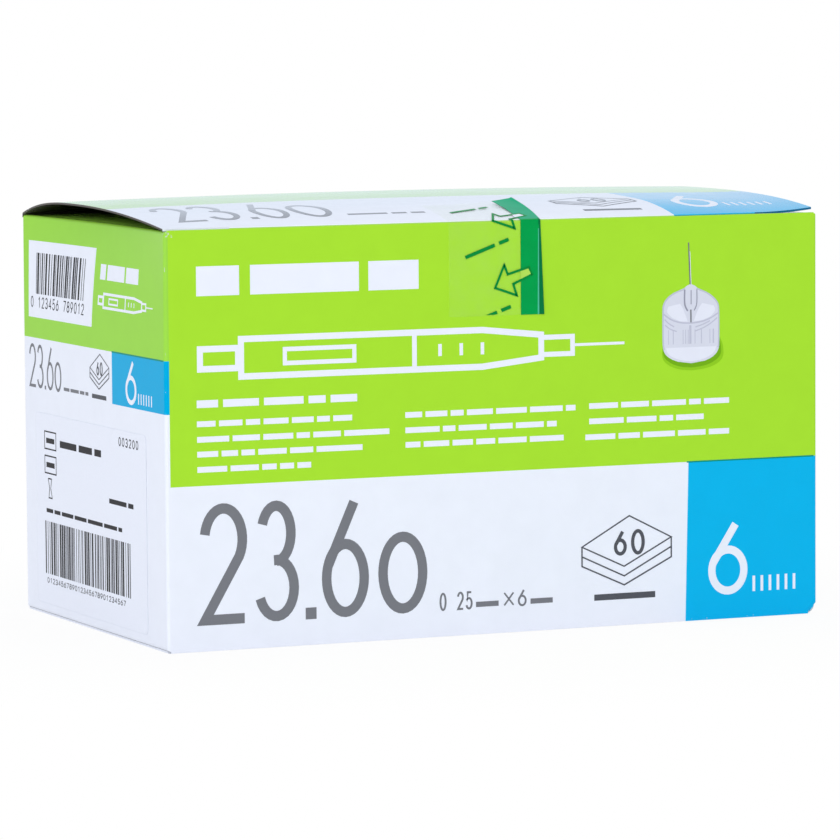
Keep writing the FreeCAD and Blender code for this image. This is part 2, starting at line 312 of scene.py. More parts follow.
# Closed shell of such a panel. Each section is a loop: down from the front root, round the
# fold as an arc about its centre, along the panel, round the back fold and back again on the
# inner face. Past the slits there is no front fold, and the same points run up the cut edge
# instead. The height h counts outwards from the carton.
def foldedPanel(xs, height, centreLevel, slope):
    arc = np.linspace(0, np.pi / 2 - slope, folded["arcSteps"])
    edge = board * (1 - np.sin(slope))
    panelY = tuckFace + edge + (halfDepth - tuckFace - 2 * edge) \
        * (1 - np.cos(np.pi * np.linspace(0, 1, folded["panelSteps"]))) / 2
    count = len(arc) + 1

    def face(radius, thick):
        # radius from the folds' centres, and thick under the panel's outside
        turnY = np.concatenate([[radius], radius * np.cos(arc)])
        turnH = np.concatenate([[centreLevel - carton["tuckAnchor"]], centreLevel + radius * np.sin(arc)])
        foldH = np.broadcast_to(turnH, (len(xs), count))
        y = np.concatenate([tuckFace + board - turnY, panelY[1:-1], halfDepth - board + turnY[::-1]])
        h = np.concatenate([foldH, height(xs[:, None], panelY[1:-1]) - thick, foldH[:, ::-1]], 1)
        return np.broadcast_to(y, h.shape).copy(), h

    outerY, outerH = face(board, 0)
    innerY, innerH = face(board * folded["innerShare"], board * (1 - folded["innerShare"]))
    steps = np.linspace(0, 1, count)[None, :]
    free = np.abs(xs) > slitStart + folded["slitGap"] / 2
    freeX, cutY = xs[free, None], panelY[0]
    underY = cutY + folded["cutUnder"][0] + folded["cutUnder"][1] * steps
    outerY[free, :count] = cutY
    outerH[free, :count] = height(freeX, cutY) - board + board * steps
    innerY[free, :count] = underY
    innerH[free, :count] = height(freeX, underY) - board
    loopY = np.concatenate([outerY, innerY[:, ::-1]], 1)
    loopH = np.concatenate([outerH, innerH[:, ::-1]], 1)
    points = np.stack([np.broadcast_to(xs[:, None], loopY.shape), loopY, loopH], -1)
    return points, outerY.shape[1], count


# Its faces, and the column of each: below outerCount - 1 outside, -1 on the two caps
def panelFaces(points, outerCount):
    rows, columns = points.shape[:2]
    grid = gridFaces(rows, columns, wrapColumns=True)
    a = np.arange(outerCount - 1)
    cap = np.stack([a, a + 1, columns - 2 - a, columns - 1 - a], -1)
    faces = np.concatenate([grid, cap, (rows - 1) * columns + cap])
    return faces, np.append(grid[:, 0] % columns, np.full(2 * len(cap), -1))


# Positions through all the marks, with no gap between two larger than step
def stations(*marks, step):
    values = []
    for a, b in zip(marks[:-1], marks[1:]):
        values.extend(np.linspace(a, b, max(2, int(np.ceil((b - a) / step)) + 1))[:-1])
    return np.array(values + [marks[-1]])


# Sections along a panel, through marks on its left, its held middle and its right, with two
# sections at the end of each slit
def sections(left, leftStep, middle, middleStep, right, rightStep):
    gap = folded["slitGap"]
    return np.concatenate([
        stations(*left, -slitStart, step=leftStep)[:-1], [-slitStart - gap],
        stations(-slitStart, *middle, slitStart, step=middleStep), [slitStart + gap],
        stations(slitStart, *right, step=rightStep)[1:]])


lidX = sections((lid["left"], lid["left"] + lid["nearEnd"]), 2.5, (0, lid["skyStart"]), 3.5,
                (lid["right"] - lid["nearEnd"], lid["right"]), 1.2)
points, outerCount, foldCount = foldedPanel(lidX, lidHeight, flapLevel + lid["clearance"], creaseSlope)
faces, column = panelFaces(points, outerCount)
flatPoints = points.reshape(-1, 3)
centres = flatPoints[faces].mean(1)
outer = (column >= 0) & (column < outerCount - 1)
isHeld = np.abs(centres[:, 0]) < slitStart
cutEdge = outer & ~isHeld & (column < foldCount - 1)
tuckSide = outer & isHeld & (column < foldCount // 2)
strip = outer & (centres[:, 1] + halfDepth < lid["whiteStrip"])
inSky = centres[:, 0] > lid["skyStart"]
# The lid's underside and hidden faces are painted shade, in the dark grey-brown, so that the gap under it
# reads dark
slots = np.full(len(faces), paintedShade)
slots[outer] = lime
slots[strip] = np.where(inSky[strip], sky, white)
slots[tuckSide] = np.where(inSky[tuckSide], teal, lime)
# The sprung right corner's cut edge is painted shade, in a dark blue; the left one is white
slots[cutEdge] = np.where(centres[cutEdge, 0] < 0, white, shadedSky)
toEdge = np.minimum(flatPoints[:, 0] - lid["left"], lid["right"] - flatPoints[:, 0])
toFold = halfDepth - np.abs(flatPoints[:, 1])
makePiece("lid", flatPoints, faces, lidInks.values(), slots,
          bell(np.minimum(toEdge, toFold), *lid["worn"]))
print("lid made")


# Bottom: the same kind of panel, closed flat, with its height counted downwards
bottomInset = 0.5
bottomX = sections((-halfWidth + bottomInset,), 5.0, (), 12.0,
                   (halfWidth - carton["knockRadius"], halfWidth - bottomInset), 0.45)
points, outerCount, _ = foldedPanel(bottomX, lambda x, y: 0 * (x + y), -board, 0.0)
points[..., 2] *= -1
knockCentre = np.array([halfWidth, -halfDepth, 0]) + carton["knockRadius"] * np.array([-1, 1, 1])


# The knocked corner: what lies beyond a ball set into the corner is pushed back onto it
def knocked(points):
    away = points - knockCentre
    distance = np.linalg.norm(away, axis=-1, keepdims=True)
    inCorner = np.all(away * np.array([1, -1, -1]) > -1e-6, -1, keepdims=True)
    pushed = knockCentre + away * np.minimum(1, carton["knockRadius"] / np.maximum(distance, 1e-6))
    return np.where(inCorner, pushed, points)


points = knocked(points)
faces, column = panelFaces(points, outerCount)
makePiece("bottomPanel", points.reshape(-1, 3), faces, inks.values(),
          np.where(column >= outerCount - 1, raw, white))
print("bottom made")


# Walls: the four upright panels, with the fields of colour that are printed on them
fields = {
    "frontGreen": 51.8,       # green down from the front's top edge, and from the back's
    "sky": (117.1, 0.4),      # left edge of the blue field below it, and its lean each way
    "endGreen": 26.3,         # green down from the top of an end panel
    "endSky": (54.5, 37.1),   # blue on an end panel: from here to its right, down to here
    "wrap": 0.9,              # the left end's print runs on this far past the fold
    "leanIn": 2.2,            # the left end is drawn in this much by its flap, at its top
    "leanDepth": 28.0,        # and down to here
    "leanPowers": (0.8, 1.7),     # across the end and down it
    "printRoom": 0.1,         # the right end and the back lie this far in, under their print
    "nearFold": (0, 0.2, 0.5, 0.9, 1.1, 1.4, 2.2),      # grid beside an upright fold
    "nearRim": (0.25, 0.6, 1.2, 2.2),                   # and beside the ones at top and foot
    "step": 4.0, "lastGap": 3.0, "rowSpan": (6.0, 82.0), "frontMark": -4.0,     # and in between
    "foldSteps": 9, "rimSteps": 8,                      # and round the folds
    "rimIn": (0.2, 0.45, 0.6),    # last rows of the wall, in under the lid or over the bottom
    "foldMiddle": 0.2,            # middle of an upright fold, in from both its walls
    "wornFolds": (0.5, 0.45), "wornTop": (0.35, 0.45), "wornFoot": (0.5, 0.42),  # width, strength
    "scuffs": [((-73.2, -42.5, 84.8), 1.8, 0.66), ((73.2, -41.8, 0.9), 1.2, 0.9)],
}
radius = carton["creaseRadius"]


# How far the left end is drawn in: nothing at its two folds and most half-way, as a power of
# a sine, and from the top down it fades as a power of what is left
def endLean(y, z):
    across = np.clip((halfDepth - y) / carton["depth"], 0, 1)
    down = np.clip((frontHeight - z) / fields["leanDepth"], 0, 1)
    acrossPower, downPower = fields["leanPowers"]
    return fields["leanIn"] * np.sin(np.pi * across) ** acrossPower * (1 - down) ** downPower


# Plan of the walls from the front left corner round: straight runs and quarter arcs. Each
# point carries its outward direction and the name of the wall that starts there.
def wallPlan():
    flatX, flatY = halfWidth - radius, halfDepth - radius
    seamX = halfWidth - carton["seamSetback"]
    nearFold = np.array(fields["nearFold"])
    quarter = np.linspace(0, np.pi / 2, fields["foldSteps"])[1:-1]

    def run(start, end, *marks):
        # positions along one wall, close together near its two folds
        between = np.arange(start + fields["step"], end - fields["lastGap"], fields["step"])
        both = np.concatenate([start + nearFold, end - nearFold])
        return np.unique(np.round(np.concatenate([both, marks, between]), 4))

    def straight(x, y, outX, outY):
        return np.stack(np.broadcast_arrays(x, y, outX, outY), -1)

    def corner(centreX, centreY, start):
        cosine, sine = np.cos(start + quarter), np.sin(start + quarter)
        return np.stack([centreX + radius * cosine, centreY + radius * sine, cosine, sine], -1)

    frontX = run(-flatX, flatX, fields["wrap"] - halfWidth, fields["sky"][0] - halfWidth,
                 fields["frontMark"])
    rightY = run(-flatY, flatY - board, carton["knockRadius"] - halfDepth,
                 fields["endSky"][0] - halfDepth)
    backX = run(-flatX, seamX, halfWidth - fields["sky"][0])[::-1]
    leftY = run(-flatY, flatY, halfDepth - fields["endSky"][0])[::-1]
    parts = [("front", straight(frontX, -halfDepth, 0, -1)),
             ("turn", corner(flatX, -flatY, -np.pi / 2)),
             ("right", straight(halfWidth, rightY, 1, 0)),
             ("turn", corner(flatX, flatY - board, 0)),
             ("turn", straight([flatX], halfDepth - board, 0, 1)),
             ("seam", straight([seamX], halfDepth - board, 0, 1)),
             ("back", straight(backX, halfDepth, 0, 1)),
             ("turn", corner(-flatX, flatY, np.pi / 2)),
             ("left", straight(-halfWidth, leftY, -1, 0)),
             ("turn", corner(-flatX, -flatY, np.pi))]
    names = [name for name, part in parts for _ in part]
    return np.concatenate([part for _, part in parts]), np.array(names)


plan, wallNames = wallPlan()
crease = radius * (1 - np.cos(np.linspace(0, np.pi / 2, fields["rimSteps"])))
nearRim = np.array(fields["nearRim"])
rowZ = np.unique(np.round(np.concatenate([
    board + crease, board + radius + nearRim, [carton["knockRadius"]],
    flapLevel - crease, flapLevel - radius - nearRim, np.arange(*fields["rowSpan"], fields["step"]),
    frontHeight - np.array([fields["frontGreen"], fields["endGreen"], fields["endSky"][1]])]), 4))

# Ends are rounded over at their top and bottom: at each height the plan is cut off at the X
# that a quarter circle gives
low = np.clip(board + radius - rowZ, 0, radius)
high = np.clip(rowZ - flapLevel + radius, 0, radius)
reach = halfWidth - radius + np.sqrt(radius ** 2 - np.maximum(low, high) ** 2)
wallX = np.clip(plan[None, :, 0], -reach[:, None], reach[:, None])
wallY = np.broadcast_to(plan[None, :, 1], wallX.shape)
wallZ = np.broadcast_to(rowZ[:, None], wallX.shape)
isFront = wallNames == "front"
lean = (np.abs(plan[:, 0] + halfWidth - fields["sky"][0]) < 1e-3) & isFront
leaning = fields["sky"][1] * np.clip(2 * rowZ / (frontHeight - fields["frontGreen"]) - 1, -1, 1)
wallX = wallX + np.where(lean[None, :], leaning[:, None], 0)
wallX = np.minimum(wallX, halfWidth - fields["printRoom"])
wallY = np.minimum(wallY, halfDepth - fields["printRoom"])
onLeft = np.clip(-halfWidth + radius - plan[None, :, 0], 0, radius) / radius
wallX = wallX + endLean(wallY, wallZ) * onLeft
wall = np.stack([wallX, wallY, wallZ], -1)
inward = -np.stack([plan[:, 2], plan[:, 3], 0 * plan[:, 2]], -1)


# Three more rows at each end of the wall: on the front they go out to the raw edge, across
# the board and back, and everywhere else they run in under the lid or over the bottom
def rimRows(edge, edgeZ):
    rim = np.stack([edge + np.where(isFront, across, under)[:, None] * inward
                    for across, under in zip((0, board, board), fields["rimIn"])])
    rim[:2, isFront, 2] = edgeZ
    return rim


foot = rimRows(wall[0], carton["rawEdgeRise"])
wall = knocked(np.concatenate([foot[::-1], wall, rimRows(wall[-1], frontHeight)]))
rows, columns = wall.shape[:2]
faces = gridFaces(rows, columns, wrapColumns=True)
flatWall = wall.reshape(-1, 3)
centres = flatWall[faces].mean(1)
row, faceColumn = faces[:, 0] // columns, faces[:, 0] % columns
faceName = wallNames[faceColumn]
down = frontHeight - centres[:, 2]
fromLeft = centres[:, 0] + halfWidth
fromBack = halfDepth - centres[:, 1]
onLeftHalf = centres[:, 0] < 0

# Front and back: green above, white and a blue field below
below = down > fields["frontGreen"]
slots = np.where(below, white, lime)
slots[below & (centres[:, 1] < 0) & ~onLeftHalf & (faceColumn >= np.argmax(lean))] = sky
slots[below & (faceName == "back") & (fromLeft < carton["width"] - fields["sky"][0])] = sky

# Ends: green, then a strip of blue and white. The green and the blue are darker copies of the front's:
# painted shade of the end panels.
isEnd = (faceName == "left") | (faceName == "right") | ((faceName == "turn") & onLeftHalf) \
    | ((faceName == "front") & (fromLeft < fields["wrap"]) & ~below)
inBlue = (down < fields["endSky"][1]) \
    & (np.where(onLeftHalf, fromBack, carton["depth"] - fromBack) > fields["endSky"][0])
endInk = np.where(down < fields["endGreen"], shadedEndLime, np.where(inBlue, endSky, white))
slots[isEnd] = endInk[isEnd]

# Raw edges of the front and of the back panel at the glued corner
slots[(faceName == "front") & ((row >= rows - 3) | (row < 2))] = raw
slots[(faceName == "front") & (row == rows - 4)] = lime
slots[faceName == "seam"] = raw
ring = np.arange(columns)
wallFaces = faces.tolist() + [((rows - 1) * columns + ring).tolist(), ring.tolist()]
slots = np.concatenate([slots, [shadedEndLime, raw]])
toUpright = np.abs(np.abs(flatWall[:, 0]) - halfWidth + fields["foldMiddle"]) \
    + np.abs(np.abs(flatWall[:, 1]) - halfDepth + fields["foldMiddle"])
toTop = np.where(np.tile(isFront, rows), frontHeight, flapLevel) - flatWall[:, 2]
worn = [bell(toUpright, *fields["wornFolds"]), bell(toTop, *fields["wornTop"]),
        bell(flatWall[:, 2] - board, *fields["wornFoot"])]
worn += [bell(np.linalg.norm(flatWall - np.array(spot), axis=1), size, strength)
         for spot, size, strength in fields["scuffs"]]
makePiece("walls", flatWall, wallFaces, inks.values(), slots, np.max(worn, axis=0))
print("walls made")


# Dust flaps: hinged on the end panels and arched up a little under the lid. Along the flap the
# rise is a quarter sine up to the crest and a parabola down to the free edge, and across it is
# half a sine. The product of the two is raised to a power, because the fold stands up steeply.
flaps = {
    "length": 45.0, "gap": 1.2, "rise": 0.95, "crest": 12.0, "sunk": 0.12, "power": 0.6,
    "cells": (40, 32), "inkedRows": 11,       # grid, and its rows from the fold that show ink
}


def flapShell(side):
    steps = [np.linspace(0, 1, count + 1) for count in flaps["cells"]]
    along, across = np.meshgrid(*steps, indexing="ij")
    inner = flaps["length"] - radius
    crest = (flaps["crest"] - radius) / inner
    riseX = np.where(along < crest, np.sin(np.pi / 2 * np.minimum(1, along / crest)),
                     1 - ((along - crest) / (1 - crest)) ** 2)
    lowY, highY = tuckFace + board + flaps["gap"], halfDepth - board - flaps["gap"]
    y = lowY + (highY - lowY) * across
    x = side * (halfWidth - radius - along * inner)
    if side < 0:
        x = x + endLean(y, flapLevel) * (1 - along)
    arch = np.maximum(0, riseX * np.sin(np.pi * across)) ** flaps["power"]
    z = flapLevel - flaps["sunk"] + (flaps["rise"] + flaps["sunk"]) * arch
    return closedSheet(np.stack([x, y, z], -1), np.stack([x, y, z - board], -1))


for side, name in ((-1, "dustFlapLeft"), (1, "dustFlapRight")):
    points, faces = flapShell(side)
    # Past its rows near the fold the flap is painted shade, in the dark grey-brown
    slots = np.full(len(faces), paintedShade)
    slots[:flaps["inkedRows"] * flaps["cells"][1]] = shadedEndLime
    makePiece(name, points, faces, inks.values(), slots)
print("dust flaps made")


# Prints are thin closed slabs of ink laid on the board. On a panel everything is given in
# millimetres, u to the right and v down from the panel's top left corner, and a place function
# turns u, v and the height over the board into a point.
printing = {
    "sunk": 0.02, "raised": 0.03, "level": 0.012,     # underside, top, and each level over it
    "bend": 3.0, "fineBend": 0.15,                    # longest step on a curved panel
    "plateSteps": 40,
}


def onFront(u, v, lift):
    return np.stack([u - halfWidth, 0 * u - halfDepth - lift, frontHeight - v], -1)


def onBack(u, v, lift):
    return np.stack([halfWidth - u, 0 * u + halfDepth - fields["printRoom"] + lift,
                     frontHeight - v], -1)


def onLeftEnd(u, v, lift):
    y, z = halfDepth - u, frontHeight - v
    return np.stack([endLean(y, z) - halfWidth - lift, y, z], -1)


def onRightEnd(u, v, lift):
    return np.stack([0 * u + halfWidth - fields["printRoom"] + lift, u - halfDepth,
                     frontHeight - v], -1)


def onLid(u, v, lift):
    # here v is 0 at the front fold and negative behind it
    x, y = u - halfWidth, -halfDepth - v
    return np.stack([x, y, lidHeight(x, y) + lift], -1)


# Slab between two lines of points, on both faces of the ink
def ribbon(place, first, second, level=0, closed=False):
    top, under = printing["raised"] + level * printing["level"], -printing["sunk"]
    sides = [place(line[:, 0], line[:, 1], lift)
             for line, lift in ((first, top), (second, top), (second, under), (first, under))]
    count = len(first)
    faces = gridFaces(count, 4, wrapRows=closed, wrapColumns=True)
    if not closed:
        faces = np.concatenate([faces, [np.arange(4), 4 * count - 1 - np.arange(4)]])
    return np.stack(sides, 1).reshape(-1, 3), faces


# Line of one width along a path: at each point the two sides lie half the width out along the
# mean of the neighbouring normals, and short steps let it follow a curved panel
def stroke(place, path, width, level=0, closed=False, bend=printing["bend"]):
    path = np.asarray(path, dtype=float)
    ends = np.roll(path, -1, 0) if closed else path[1:]
    lines = [np.linspace(a, b, max(2, int(np.ceil(np.linalg.norm(b - a) / bend)) + 1))[:-1]
             for a, b in zip(path, ends)]
    path = np.concatenate(lines if closed else lines + [path[-1:]])
    along = (np.roll(path, -1, 0) - path)[:len(path) if closed else -1]
    along /= np.linalg.norm(along, axis=1, keepdims=True)
    before = np.roll(along, 1, 0) if closed else np.concatenate([along[:1], along])
    after = along if closed else np.concatenate([along, along[-1:]])
    normal = np.stack([-(before + after)[:, 1], (before + after)[:, 0]], -1)
    normal /= np.maximum(np.linalg.norm(normal, axis=1, keepdims=True), 1e-6)
    stretch = np.sqrt(np.maximum(0.25, (1 + (before * after).sum(1, keepdims=True)) / 2))
    side = normal * width / 2 / stretch
    return ribbon(place, path - side, path + side, level, closed)


# Field of ink in a box of two u and two v, or between four corners, in a grid fine enough for
# a curved panel
def field(place, corners, level=0, cells=(1, 1)):
    if np.ndim(corners) == 1:
        corners = box(*corners)
    a, b, c, d = np.asarray(corners, dtype=float)
    s, t = np.meshgrid(np.linspace(0, 1, cells[0] + 1), np.linspace(0, 1, cells[1] + 1))
    s, t = s[..., None], t[..., None]
    flat = (a * (1 - s) + b * s) * (1 - t) + (d * (1 - s) + c * s) * t
    lift = printing["raised"] + level * printing["level"]
    return closedSheet(place(flat[..., 0], flat[..., 1], lift),
                       place(flat[..., 0], flat[..., 1], -printing["sunk"]))


def box(u0, u1, v0, v1):
    return [(u0, v0), (u1, v0), (u1, v1), (u0, v1)]


# Flat shape with any outline, for flat panels: its two sides are paired off from the top down
def plate(place, leftSide, rightSide, level=0):
    steps = np.linspace(0, 1, printing["plateSteps"])

    def along(side):
        down = (side[:, 1] - side[0, 1]) / (side[-1, 1] - side[0, 1])
        return np.stack([np.interp(steps, down, side[:, k]) for k in (0, 1)], -1)

    return ribbon(place, along(leftSide), along(rightSide), level)


# Lines given in a square of side 1 that is stretched to a box: the path of each, the share of
# the width that it has, its level over the first and whether it is closed
def drawing(place, u0, u1, v0, v1, width, lines, level=0):
    return [stroke(place, np.array([u0, v0]) + np.array(path) * [u1 - u0, v1 - v0], width * share,
                   level + up, closed) for path, share, up, closed in lines]


def arc(centre, radii, start, end, count=22):
    # start and end in degrees, clockwise as seen, from the right
    angle = np.radians(np.linspace(start, end, count))
    return np.stack([centre[0] + radii[0] * np.cos(angle), centre[1] + radii[1] * np.sin(angle)], -1)


# Plain numbers, each a few lines in a square of side 1 that is stretched to its place
def ringOf(x, y, rx, ry):
    return arc((x, y), (rx, ry), 0, 360, 37)[:-1], True


numbers = {
    "0": [ringOf(0.5, 0.5, 0.5, 0.5)],
    "1": [([(0.15, 0.22), (0.6, 0), (0.6, 1)], False)],
    "2": [(np.concatenate([arc((0.49, 0.28), (0.47, 0.28), 190, 395), [(0.02, 1), (1, 1)]]), False)],
    "3": [(arc((0.47, 0.25), (0.42, 0.25), 200, 450), False),
          (arc((0.47, 0.745), (0.5, 0.255), 262, 520), False)],
    "4": [([(0.76, 1), (0.76, 0), (0, 0.72), (1, 0.72)], False)],
    "5": [(np.concatenate([[(0.9, 0), (0.2, 0), (0.1, 0.47)],
                           arc((0.46, 0.68), (0.52, 0.32), 225, 520)]), False)],
    "6": [ringOf(0.5, 0.69, 0.5, 0.31), ([(0.74, 0), (0.045, 0.57)], False)],
    "7": [([(0, 0), (1, 0), (0.35, 1)], False)],
    "8": [ringOf(0.5, 0.24, 0.42, 0.24), ringOf(0.5, 0.73, 0.5, 0.27)],
    "9": [ringOf(0.5, 0.31, 0.5, 0.31), ([(0.955, 0.43), (0.26, 1)], False)],
}


def number(place, digit, u0, u1, v0, v1, width, level=0):
    low = np.array([u0, v0]) + width / 2
    size = np.array([u1 - u0, v1 - v0]) - width
    return [stroke(place, low + np.asarray(path) * size, width, level + i, closed)
            for i, (path, closed) in enumerate(numbers[digit])]


def numberRow(place, digits, u0, u1, v0, v1, width, gap=0.3, level=0):
    pitch = (u1 - u0) / len(digits)
    return [shell for i, digit in enumerate(digits) if digit != " "
            for shell in number(place, digit, u0 + i * pitch, u0 + i * pitch + pitch * (1 - gap),
                                v0, v1, width, level)]


# Row of plain bars, a share as high as the row. Their lengths, the gaps between them and the
# least length of the last one are in proportion to the row's height.
wordSizes = {"length": (1.6, 5.5), "gap": 0.5, "last": 1.5}


def wordBars(place, u0, u1, v0, v1, seed, share):
    chance = np.random.default_rng(seed)
    tall, middle = v1 - v0, (v0 + v1) / 2
    half = tall * share / 2
    u, shells = u0, []
    while u < u1 - tall / 2:
        end = u + tall * chance.uniform(*wordSizes["length"])
        if u1 - end < wordSizes["last"] * tall:
            end = u1
        cells = max(1, int(np.ceil((end - u) / printing["bend"])))
        shells.append(field(place, (u, end, middle - half, middle + half), 0, (cells, 1)))
        u = end + tall * wordSizes["gap"]
    return shells


# Bar code: dark bars of one to three modules with gaps of the same widths, in no real code
def bars(place, u0, u1, v0, v1, module, seed, level=0):
    chance = np.random.default_rng(seed)
    u, shells = u0, []
    while u < u1 - module:
        wide = module * chance.choice([1, 1, 2, 3])
        shells.append(field(place, (u, min(u + wide, u1), v0, v1), level,
                            (1, max(1, int((v1 - v0) / printing["bend"])))))
        u += wide + module * chance.choice([1, 1, 2, 2, 3])
    return shells


# Line drawing of a pen injector with its needle: dose knob, body with a dose window and three
# ticks, cap joint, holder that narrows and the needle
def penDrawing(place, u0, u1, v0, v1, width):
    w, h = width / 2 / (u1 - u0), width / 2 / (v1 - v0)
    body = [(0.1, h), (0.66, h), (0.8, 0.16 + h), (0.8, 0.84 - h), (0.66, 1 - h), (0.1, 1 - h)]
    knob = [(w, 0.2 + h), (0.1 - w, 0.2 + h), (0.1 - w, 0.8 - h), (w, 0.8 - h)]
    window = [(0.2, 0.34), (0.36, 0.34), (0.36, 0.66), (0.2, 0.66)]
    holder = [(0.8 + w, 0.3), (0.875, 0.3), (0.875, 0.7), (0.8 + w, 0.7)]
    lines = [(body, 1, 0, True), (knob, 1, 1, True), ([(0.5, 2 * h), (0.5, 1 - 2 * h)], 0.8, 1, False),
             (window, 0.7, 0, True), (holder, 0.8, 1, False),
             ([(0.875 + w * 0.8, 0.5), (1, 0.5)], 0.45, 2, False)]
    lines += [([(x, 0.36), (x, 0.64)], 0.6, 0, False) for x in (0.56, 0.61, 0.66)]
    return drawing(place, u0, u1, v0, v1, width, lines)


# Stack of three sheets seen from above: a rhombus and the lower two corners of two more.
# And two strokes that cross.
sheetStack = [
    ([(0.53, 0), (1, 0.34), (0.47, 0.73), (0, 0.42)], 1, 0, True),
    ([(0, 0.42), (0, 0.56), (0.47, 0.87), (1, 0.48), (1, 0.34)], 1, 1, False),
    ([(0, 0.56), (0, 0.7), (0.47, 1), (1, 0.63), (1, 0.48)], 1, 2, False),
]
crossLines = [([(0, 0), (1, 1)], 1, 0, False), ([(1, 0), (0, 1)], 1, 1, False)]


# One piece from all the ink on a panel
def printPiece(name, inked, materials=inks, **role):
    points, faces = joined([shell for _, shells in inked for shell in shells])
    slots = [index for index, shells in inked for _, shellFaces in shells for _ in shellFaces]
    makePiece(name, points, faces, materials.values(), slots, **role)


# Path with its corners cut: each pass puts two points on every run, a quarter in from its ends
def smoothed(path, passes=2):
    path = np.asarray(path, dtype=float)
    for _ in range(passes):
        near = path[:-1] * 0.75 + path[1:] * 0.25
        far = path[:-1] * 0.25 + path[1:] * 0.75
        inner = np.stack([near, far], 1).reshape(-1, 2)[1:-1]
        path = np.concatenate([path[:1], inner, path[-1:]])
    return path


# Needle picture, in the front's millimetres: bare needle, hub, and the round body seen a little
# from above, with the shadow under it
needle = {
    "left": [(118.1, 14.3), (117.4, 14.4), (116.8, 15.2), (114.3, 15.9), (112.6, 17.0),
             (111.6, 18.3), (111.45, 20.0), (111.45, 26.6), (111.7, 28.4), (112.7, 29.6),
             (114.6, 30.5), (116.6, 30.9), (118.2, 31.0)],
    "right": [(118.1, 14.3), (118.9, 14.4), (119.5, 15.2), (121.9, 16.0), (123.7, 17.3),
              (124.7, 18.5), (124.85, 20.0), (124.85, 26.6), (124.7, 28.2), (123.8, 29.5),
              (121.9, 30.5), (119.9, 30.9), (118.2, 31.0)],
    # the outline is the part of both sides from the shoulder down, drawn in a little
    "outlined": slice(6, 31), "middle": (118.15, 22.0), "drawnIn": 0.975, "outline": 0.3,
    # shadow: half its width and its row, each with its share of the spread and of the drop,
    # how far it spreads to the left and to the right, and its ink, level, growth and drop
    "shadowMiddle": 118.3,
    "shadow": [(6.3, 0, 25.2, 0), (6.4, 1, 27.0, 0), (6.6, 1, 28.8, 1), (4.4, 1, 30.4, 1),
               (2.0, 0, 31.1, 1), (0.0, 0, 31.2, 1)],
    "shadowSides": ((-1, 0.35), (1, 0.9)),
    "shadowInks": [(paleShade, 0, 1.1, 1.3), (shade, 1, 0.5, 0.7)],
    "glints": [
        ([(112.3, 27.6), (112.6, 28.8), (113.9, 29.7), (116.1, 30.4), (118.2, 30.6)],
         [(124.1, 27.6), (123.7, 28.8), (122.4, 29.7), (120.3, 30.4), (118.2, 30.6)]),
        ([(112.9, 18.9), (112.4, 20.0), (113.6, 21.3), (115.6, 22.1)],
         [(115.6, 18.4), (116.3, 19.4), (116.9, 20.9), (117.4, 22.2)]),
        ([(120.8, 18.4), (120.0, 19.4), (119.3, 20.9), (118.8, 22.2)],
         [(123.5, 19.0), (124.0, 20.0), (122.8, 21.3), (120.8, 22.0)]),
    ],
    "ribs": ((112.9, 0.16), (114.0, 0.2), (116.3, 0.16), (116.9, 0.16), (117.5, 0.16),
             (119.1, 0.16), (120.6, 0.22), (122.6, 0.16), (123.4, 0.3)),
    "ribRows": (23.9, 26.9),
    # single lines: ink, width, level and path
    "lines": [
        (paleGrey, 0.3, 4, [(111.8, 20.5), (113.2, 21.6), (115.4, 22.4), (118.1, 22.6),
                            (120.8, 22.3), (122.9, 21.6), (124.5, 20.6)]),
        (paleGrey, 0.24, 4, [(112.0, 21.6), (112.9, 22.5), (114.2, 23.2)]),
        (paleGrey, 0.24, 4, [(112.1, 22.8), (113.2, 23.7), (114.8, 24.2)]),
        (paleGrey, 0.24, 4, [(119.0, 24.3), (121.2, 23.6), (123.0, 22.6), (124.3, 21.6)]),
        (paleGrey, 0.24, 4, [(119.2, 23.4), (121.0, 22.9), (122.6, 22.2)]),
        (paleGrey, 0.5, 3, [(118.0, 23.0), (118.0, 26.9)]),
        (hubLine, 0.34, 4, [(116.7, 15.5), (116.6, 18.7), (117.4, 20.0)]),
        (hubLine, 0.22, 4, [(119.55, 15.5), (119.6, 18.7), (118.9, 19.9)]),
        (hubLine, 0.2, 4, [(118.2, 15.6), (118.2, 18.6)]),
        (grey, 0.24, 3, [(117.65, 5.6), (118.0, 14.4)]),
        (grey, 0.3, 5, [(118.12, 19.7), (118.15, 22.4)]),
        (white, 0.12, 4, [(117.95, 7.5), (118.2, 14.4)]),
    ],
}


def needlePicture(place):
    left, right = smoothed(needle["left"]), smoothed(needle["right"])
    inked = []
    for ink, level, grow, drop in needle["shadowInks"]:
        cast = [smoothed([(needle["shadowMiddle"] + side * (half + grows * grow * spread),
                           row + drops * drop) for half, grows, row, drops in needle["shadow"]])
                for side, spread in needle["shadowSides"]]
        inked.append((ink, [plate(place, *cast, level)]))
    inked.append((hub, [plate(place, left, right, 2)]))
    inked.append((glint, [plate(place, smoothed(a), smoothed(b), 3) for a, b in needle["glints"]]))
    middle, (top, foot) = np.array(needle["middle"]), needle["ribRows"]
    for side in (left, right):
        edge = middle + needle["drawnIn"] * (side[needle["outlined"]] - middle)
        inked.append((paleGrey, [stroke(place, edge, needle["outline"], 3)]))
    inked += [(paleGrey, [stroke(place, [(u, top), (u, foot)], wide, 3)]) for u, wide in needle["ribs"]]
    return inked + [(ink, [stroke(place, smoothed(path), wide, level)])
                    for ink, wide, level, path in needle["lines"]]


